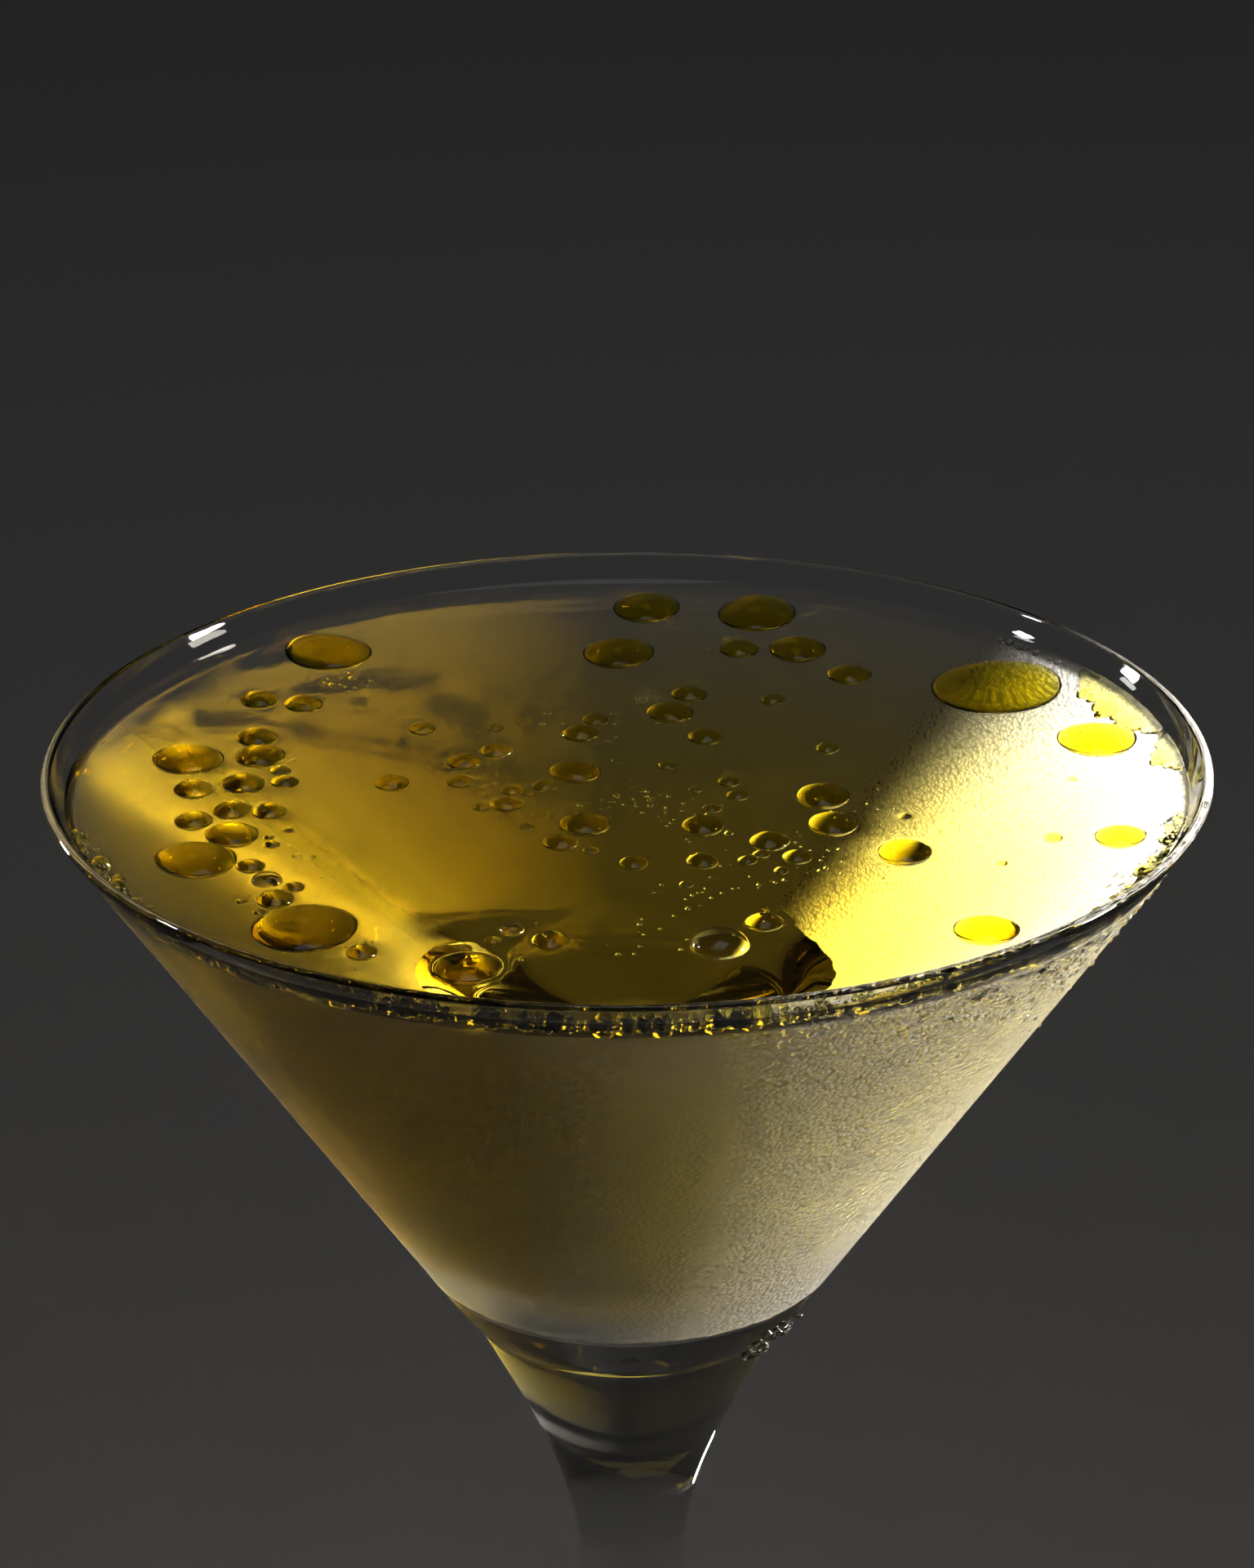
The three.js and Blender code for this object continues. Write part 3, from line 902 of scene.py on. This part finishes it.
# Bubbles of air among the drops: centre to the right and back, and width.
AIR = [("air_bubble", 8.4, -36.6, 5.4), ("", -33.9, -21.6, 2.9), ("", -10.7, -32.9, 2.3)]
# Clusters of fine droplets: centre to the right and back, spread, and how many.
CLUSTERS = [
    (2.0, -2.0, 2.4, 34), (6.0, -7.5, 2.6, 26), (17.5, -17.5, 3.2, 34), (8.0, -24.0, 3.6, 18),
    (0.0, -33.0, 5.0, 26), (-8.0, -2.0, 4.0, 18), (-33.0, -13.0, 3.0, 16), (-33.5, -24.5, 2.4, 18),
    (-24.5, -37.0, 1.8, 16), (-29.0, 28.0, 2.4, 22), (-35.5, 8.0, 2.2, 12), (-2.0, 17.0, 2.6, 12),
    (10.5, 38.0, 2.0, 8), (12.0, -12.0, 3.5, 22), (-12.0, 16.5, 2.4, 8), (22.0, -6.0, 3.0, 8),
]
# Clear bubbles beside the drops: centre to the right and back, and width.
LOOSE = [
    (5.6, 44.4, 1.1), (4.8, 44.2, 0.8), (1.6, 22.4, 1.3), (1.2, 24.2, 0.9), (2.6, 24.8, 0.9),
    (10.6, 39.6, 1.0), (3.4, 23.2, 0.8),
]


@dataclass
class Droplets:
    """Everything on the drink that is too small to have a pocket of its own, in millimetres."""

    drink: Drink
    seed: int = 7

    def clusters(self) -> tuple[np.ndarray, np.ndarray]:
        """Fine droplets in clusters: a normal scatter of places and a log-normal one of widths.

        Returns:
            Places and widths.
        """
        rng = np.random.default_rng(self.seed)
        spots, widths = [], []
        for x, y, spread, count in CLUSTERS:
            spots.append(rng.normal((x, y), (spread, spread * 0.9), (count, 2)))
            widths.append(np.clip(rng.lognormal(math.log(0.32), 0.45, count), 0.14, 0.95))
        flat, size = np.concatenate(spots), np.concatenate(widths)
        clear = np.hypot(flat[:, 0], flat[:, 1]) < self.drink.edge_radius - 1.5
        for floater in self.drink.floaters:
            gap = (floater.distance(flat[:, 0], flat[:, 1]) - 1.0) * floater.radius
            clear &= gap > size / 2 + 0.08
        flat, size = flat[clear], size[clear]
        height = self.drink.still(np.hypot(flat[:, 0], flat[:, 1])) - size * 0.12
        return np.column_stack([flat, height]), size

    def on_drops(self) -> tuple[np.ndarray, np.ndarray]:
        """Tiny bubbles that sit on the crowns of the large drops.

        Returns:
            Places and widths.
        """
        rng = np.random.default_rng(self.seed + 1)
        spots, widths = [], []
        for floater in self.drink.floaters:
            if floater.kind is Kind.AIR or floater.width < 3.0:
                continue
            count = int(rng.integers(2, 7))
            share = np.sqrt(rng.uniform(0.0, 0.75, count))
            turn = rng.uniform(0.0, 2.0 * np.pi, count)
            x = floater.x + share * floater.radius * np.cos(turn)
            y = floater.y + share * floater.radius * np.sin(turn)
            reached = np.clip(floater.distance(x, y), 0.0, 1.0)
            rim = self.drink.still(np.hypot(x, y)) + floater.rise
            spots.append(np.column_stack([x, y, rim + floater.crown * (1.0 - reached**floater.fullness)]))
            widths.append(rng.uniform(0.14, 0.34, count))
        return np.concatenate(spots), np.concatenate(widths)

    def crust(self) -> tuple[np.ndarray, np.ndarray]:
        """Beads of oil crowded against the wall at the front, from the right round to the left.

        Returns:
            Places and widths.
        """
        rng = np.random.default_rng(self.seed + 2)
        turn = np.radians(np.concatenate([rng.uniform(192.0, 348.0, 330), rng.uniform(236.0, 352.0, 260)]))
        size = np.clip(rng.lognormal(math.log(0.8), 0.42, len(turn)), 0.3, 2.1)
        out = self.drink.edge_radius - 0.1 - size / 2 - rng.exponential(0.35, len(turn))
        height = self.drink.still(out + size / 2) - 0.25 - size * rng.uniform(0.0, 0.35, len(turn))
        return around_axis(out, turn, height), size

    def sparks(self) -> tuple[np.ndarray, np.ndarray]:
        """Clear bubbles: a row against the far wall on the right and a few beside the drops in the middle.

        Returns:
            Places and widths.
        """
        turn = np.radians(np.array([43.5, 42.3, 41.4, 40.6, 39.9, 38.2, 36.0, 34.6]))
        size = np.array([0.8, 0.9, 0.7, 1.0, 0.8, 0.9, 0.6, 0.8])
        row = around_axis(self.drink.edge_radius - 0.7, turn, self.drink.level + 0.75)
        loose = np.array(LOOSE)
        height = np.full(len(loose), self.drink.level + 0.15)
        places = np.concatenate([row, np.column_stack([loose[:, :2], height])])
        return places, np.concatenate([size, loose[:, 2]])

    def build(self, oil: bpy.types.Material, film: bpy.types.Material) -> None:
        """Makes one piece of the fine droplets, one of the crust and one of the clear bubbles.

        Args:
            oil: the finish of the oil.
            film: the finish of the clear bubbles.
        """
        places, sizes = self.clusters()
        beads(places, sizes, 0.7).piece("fine_droplets", oil, "oil")
        places, sizes = self.crust()
        beads(places, sizes, 0.8).piece("edge_beads", oil, "oil")
        on_drops, clear = self.on_drops(), self.sparks()
        places = np.concatenate([on_drops[0], clear[0]])
        sizes = np.concatenate([on_drops[1], clear[1]])
        beads(places, sizes, 0.85).piece("clear_bubbles", film, "bubble_film")


@dataclass
class Floaters:
    """The drops of oil and the bubbles of air that have pockets in the drink."""

    drink: Drink

    def build(self, oil: bpy.types.Material, film: bpy.types.Material) -> None:
        """Makes a piece for each large drop, one for all the small ones and one film for each bubble.

        Args:
            oil: the finish of the oil.
            film: the finish of the bubbles' film.
        """
        small = []
        for floater in self.drink.floaters:
            if floater.kind is Kind.AIR:
                continue
            if floater.node:
                piece = lens(floater, self.drink, 14, 64).piece(f"oil_{floater.node}", oil, "oil")
                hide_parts(floater.node)
            else:
                small.append(lens(floater, self.drink, 7, 28))
        joined(small).piece("small_oil_drops", oil, "oil")
        domes = [self.dome(f) for f in self.drink.floaters if f.kind is Kind.AIR]
        largest = domes[0].piece("large_bubble_film", film, "bubble_film")
        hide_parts("air_bubble")
        joined(domes[1:]).piece("small_bubble_films", film, "bubble_film")

    def dome(self, bubble: Floater, thickness: float = 0.06, skirt: float = 0.12, rows: int = 12) -> Surface:
        """A bubble's thin film: an outer and an inner half ellipse, joined by a skirt in the drink.

        Args:
            bubble: the bubble.
            thickness: of the film.
            skirt: how far its edge goes into the drink.
            rows: grid rows on each side of the film.

        Returns:
            A closed shell in metres.
        """
        turn = np.linspace(0.0, np.pi / 2, rows)
        hollow, lapped = bubble.radius - thickness, bubble.radius + 0.02
        inner = np.stack([hollow * np.cos(turn), (bubble.crown - thickness) * np.sin(turn)], axis=1)
        outer = np.stack([lapped * np.cos(turn), bubble.crown * np.sin(turn)], axis=1)
        feet = np.array([[hollow, -skirt], [lapped, -skirt]])
        profile = np.concatenate([inner[::-1], feet, outer])
        shell = turned(profile, 48)
        rim = self.drink.still(np.hypot(bubble.x, bubble.y)) + bubble.rise
        return Surface((shell.points + np.array([bubble.x, bubble.y, rim])) * MM, shell.faces)


@dataclass
class WallSlick:
    """Oil gathered between drink and wall, in millimetres.

    Attributes:
        drink: what it lies on.
        name: the last part of the piece's name.
        start: the angle at which it begins, in degrees.
        end: the angle at which it ends.
        width: from the wall inwards.
        stands_for: the CAD node it replaces, if it has one.
        around: points round its section.
        into_wall: how far it reaches into the glass.
    """

    drink: Drink
    name: str
    start: float
    end: float
    width: float
    stands_for: str = ""
    around: int = 20
    into_wall: float = 0.03

    def section(self, half: np.ndarray) -> tuple[np.ndarray, np.ndarray]:
        """The bead's rounded sections: full against the wall, low over the drink and deeper under it.

        Args:
            half: half the width at each step along the wall.

        Returns:
            Reach in from the wall and height, a row of points for each step.
        """
        turn = np.linspace(0.0, 2.0 * np.pi, self.around, endpoint=False)
        towards = (0.5 + 0.5 * np.cos(turn)) ** 0.4
        reach = 2.0 * half[:, None] * (1.0 - towards)
        up = np.sign(np.sin(turn)) * np.abs(np.sin(turn)) ** 0.6
        still = self.drink.still(self.drink.edge_radius - reach)
        return reach, still + np.where(up > 0.0, 0.34, 1.5) * half[:, None] * up

    def build(self, material: bpy.types.Material) -> bpy.types.Object:
        """Makes a tapered, uneven bead: a ring of points swept along the line where drink and wall meet.

        Its half width is width / 2 * sqrt(sin(pi * share of the way)), with two slow waves on it.

        Args:
            material: the finish of the oil.

        Returns:
            The piece.
        """
        share = np.linspace(0.012, 0.988, max(90, int(2.5 * (self.end - self.start))))
        turn = np.radians(self.start + (self.end - self.start) * share)
        waves = 1.0 + 0.16 * np.sin(turn * 70.0) + 0.1 * np.sin(turn * 187.0 + 1.0)
        reach, height = self.section(self.width / 2 * np.sqrt(np.sin(np.pi * share)) * waves)
        out = self.drink.glass.inner(self.drink.glass.height - height) + self.into_wall - reach
        ring = around_axis(out, turn[:, None], height).reshape(-1, 3)
        sides = self.around
        ends = np.array([ring[:sides].mean(axis=0), ring[-sides:].mean(axis=0)])
        faces = grid_faces(len(share), sides)[:, ::-1]
        low = fan(len(ring), 0, sides)
        high = fan(len(ring) + 1, len(ring) - sides, sides, under=True)
        made = Surface(np.concatenate([ring, ends]) * MM, [faces, np.concatenate([low, high])])
        piece = made.piece(f"oil_{self.name}", material, "oil")
        if self.stands_for:
            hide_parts(self.stands_for)
        return piece


@dataclass
class Condensation:
    """Separate beads of water on the outside of the bowl, in millimetres.

    Attributes:
        glass: what they sit on.
        seed: of the scatter.
        high_count: beads under the rim on the right of the front wall.
        low_count: beads at the foot of the bowl.
        stand_off: how far a bead's middle is from the wall, as a share of its width.
    """

    glass: Glassware
    seed: int = 11
    high_count: int = 900
    low_count: int = 26
    stand_off: float = 0.02

    def build(self, material: bpy.types.Material) -> bpy.types.Object:
        """Scatters the beads: thickly towards the right and the rim, and a few round the fog's lower edge.

        Args:
            material: the finish of the water.

        Returns:
            The piece.
        """
        rng = np.random.default_rng(self.seed)
        turn = np.radians(np.clip(rng.normal(318.0, 15.0, self.high_count), 285.0, 352.0))
        depth = 4.5 + rng.exponential(2.6, self.high_count)
        size = np.clip(rng.lognormal(math.log(0.62), 0.3, self.high_count), 0.3, 1.1)
        turn = np.concatenate([turn, np.radians(rng.uniform(316.0, 338.0, self.low_count))])
        depth = np.concatenate([depth, rng.uniform(57.6, 61.5, self.low_count)])
        size = np.concatenate([size, rng.uniform(0.6, 1.5, self.low_count)])
        shoulder = self.glass.shoulder_depth
        under = self.glass.shoulder_radius - self.glass.neck_slope * (depth - shoulder)
        radius = np.where(depth < shoulder, self.glass.outer(depth), under) + size * self.stand_off
        places = around_axis(radius, turn, self.glass.height - depth)
        return beads(places, size, 0.8).piece("condensation_beads", material, "clear_glass")


@dataclass(frozen=True)
class StudioSurface:
    """A matt finish for what isn't part of the object: a name and a plain colour."""

    name: str
    colour: tuple[float, float, float]

    def build(self) -> bpy.types.Material:
        """Makes the material."""
        made, tree = blank_material(self.name)
        colour = (*self.colour, 1.0)
        surface = tree.add("ShaderNodeBsdfPrincipled", {"Base Color": colour, "Roughness": 0.8})
        tree.add("ShaderNodeOutputMaterial", {"Surface": surface.outputs[0]})
        return made


@dataclass
class AreaLight:
    """A soft light that looks at a point.

    Attributes:
        name: the light's name.
        place: where it hangs, in metres.
        aim: the point it looks at.
        size: its width and height in metres.
        watts: its power.
        colour: of its light.
        spread: the full angle it shines into, in degrees.
    """

    name: str
    place: tuple[float, float, float]
    aim: tuple[float, float, float]
    size: tuple[float, float]
    watts: float
    colour: tuple[float, float, float] = (1.0, 1.0, 1.0)
    spread: float = 180.0

    def build(self) -> bpy.types.Object:
        """Makes the light.

        Returns:
            The light's object.
        """
        data = bpy.data.lights.new(self.name, "AREA")
        data.shape = "RECTANGLE"
        data.size, data.size_y = self.size
        data.energy = self.watts
        data.color = self.colour
        data.spread = math.radians(self.spread)
        made = bpy.data.objects.new(self.name, data)
        made.location = self.place
        look = Vector(self.aim) - Vector(self.place)
        made.rotation_euler = look.to_track_quat("-Z", "Y").to_euler()
        bpy.context.scene.collection.objects.link(made)
        return made


@dataclass
class Studio:
    """Floor, lights and camera, in metres and degrees.

    Attributes:
        floor_size: length of the square floor's sides.
        floor_drop: how far the floor lies under the foot.
        floor_colour: of its paint.
        world: colour of the even light all round.
        warm: colour of the main light.
        lens: focal length in millimetres on a sensor 36 mm wide.
        camera_place: where the camera stands.
        camera_pitch: how far it looks down.
        camera_roll: how far it is turned about its line of sight.
        noise: how much noise may be left in a pixel when its light is settled.
    """

    floor_size: float = 3.0
    floor_drop: float = 0.0002
    floor_colour: tuple[float, float, float] = (0.72, 0.71, 0.69)
    world: tuple[float, float, float] = (0.008, 0.008, 0.0085)
    warm: tuple[float, float, float] = (1.0, 0.94, 0.84)
    lens: float = 119.06
    camera_place: tuple[float, float, float] = (0.0, -0.466568, 0.373733)
    camera_pitch: float = 23.074
    camera_roll: float = 0.33
    noise: float = 0.12

    def floor(self) -> bpy.types.Object:
        """Lays the floor just under the foot.

        Returns:
            The floor's object.
        """
        half = self.floor_size / 2
        mesh = bpy.data.meshes.new("floor")
        corners = [(-half, -half, 0.0), (half, -half, 0.0), (half, half, 0.0), (-half, half, 0.0)]
        mesh.from_pydata(corners, [], [(0, 1, 2, 3)])
        mesh.materials.append(StudioSurface("floor_paint", self.floor_colour).build())
        made = bpy.data.objects.new("floor", mesh)
        made.location.z = -self.floor_drop
        bpy.context.scene.collection.objects.link(made)
        return made

    def lights(self, floor: bpy.types.Object) -> None:
        """Hangs the lights and sets the even light of the room.

        Args:
            floor: what the three narrow lights are kept off, so that no bright pool shows through the drink.
        """
        narrow = [
            AreaLight("side_light", (0.613, 0.06, 0.225), (0, 0, 0.15), (0.14, 0.14), 0.9, self.warm, 14.0),
            AreaLight("rim_light", (-0.62, 0.087, 0.49), (0, 0, 0.17), (0.05, 0.05), 0.04, spread=16.0),
            AreaLight("stem_light", (-0.42, 0.3, 0.14), (0, 0, 0.1), (0.05, 0.2), 0.2, spread=16.0),
        ]
        unlit = bpy.data.collections.new("kept_off")
        unlit.objects.link(floor)
        unlit.collection_objects[0].light_linking.link_state = "EXCLUDE"
        for light in narrow:
            light.build().light_linking.receiver_collection = unlit
        AreaLight("top_light", (0.1, 0.0, 1.3), (0.0, 0.05, 0.0), (0.6, 0.6), 0.65).build()
        world = bpy.data.worlds.new("room")
        world.use_nodes = True
        world.node_tree.nodes["Background"].inputs["Color"].default_value = (*self.world, 1.0)
        bpy.context.scene.world = world
        bpy.context.scene.view_settings.view_transform = "Standard"
        bpy.context.scene.cycles.adaptive_threshold = self.noise

    def camera(self) -> None:
        """Sets the photograph's camera."""
        data = bpy.data.cameras.new("camera")
        data.lens = self.lens
        data.sensor_width = 36.0
        data.clip_start = 0.01
        made = bpy.data.objects.new("camera", data)
        pitch = Matrix.Rotation(math.radians(90.0 - self.camera_pitch), 4, "X")
        roll = Matrix.Rotation(math.radians(-self.camera_roll), 4, "Z")
        made.matrix_world = Matrix.Translation(self.camera_place) @ pitch @ roll
        bpy.context.scene.collection.objects.link(made)
        bpy.context.scene.camera = made

    def build(self) -> None:
        """Sets up everything round the object."""
        self.lights(self.floor())
        self.camera()


def main() -> None:
    """Builds the object and what is round it."""
    logging.basicConfig(level=logging.INFO, format="%(name)s: %(message)s")
    high = box_of("glass")[1]
    glass = Glassware(height=high[2] / MM, rim_radius=high[0] / MM)
    floaters = [Floater(x, y, width, Kind.OIL, node) for node, x, y, width in LARGE]
    floaters += [Floater(x, y, width) for x, y, width in SMALL]
    floaters += [Floater(x, y, width, Kind.AIR, node) for node, x, y, width in AIR]
    drink = Drink(glass, level=box_of("drink")[1][2] / MM - Drink.edge_rise, floaters=floaters)

    wall = glass.wall * MM
    clear = FoggedGlass(high[2], high[0], wall, slope=0.677, top=3.9 * MM, bottom=53.5 * MM).build()
    gold = ClearLiquid("gold_drink", "drink", 1.355, (0.84, 0.51, 0.011), 0.1).build()
    oil = ClearLiquid("green_gold_oil", "oil", 1.47, (0.86, 0.73, 0.04), 0.003).build()
    film = ClearLiquid("bubble_film", "bubble_film", 1.34, (0.98, 0.97, 0.9), 0.01).build()
    water = ClearLiquid("water_beads", "clear_glass", 1.33, (0.99, 0.99, 0.99), 0.01).build()

    glass.build(clear)
    drink.build(gold)
    Floaters(drink).build(oil, film)
    Droplets(drink).build(oil, film)
    WallSlick(drink, "slick_back", 12.0, 31.0, 2.6, "wall_slick_back").build(oil)
    WallSlick(drink, "slick_front", 2.0, 11.0, 1.8, "wall_slick_front").build(oil)
    WallSlick(drink, "slick_near_right", -72.0, -12.0, 1.3).build(oil)
    WallSlick(drink, "slick_near_left", 205.0, 262.0, 0.9).build(oil)
    Condensation(glass).build(water)
    Studio().build()


if __name__ == "__main__":
    main()
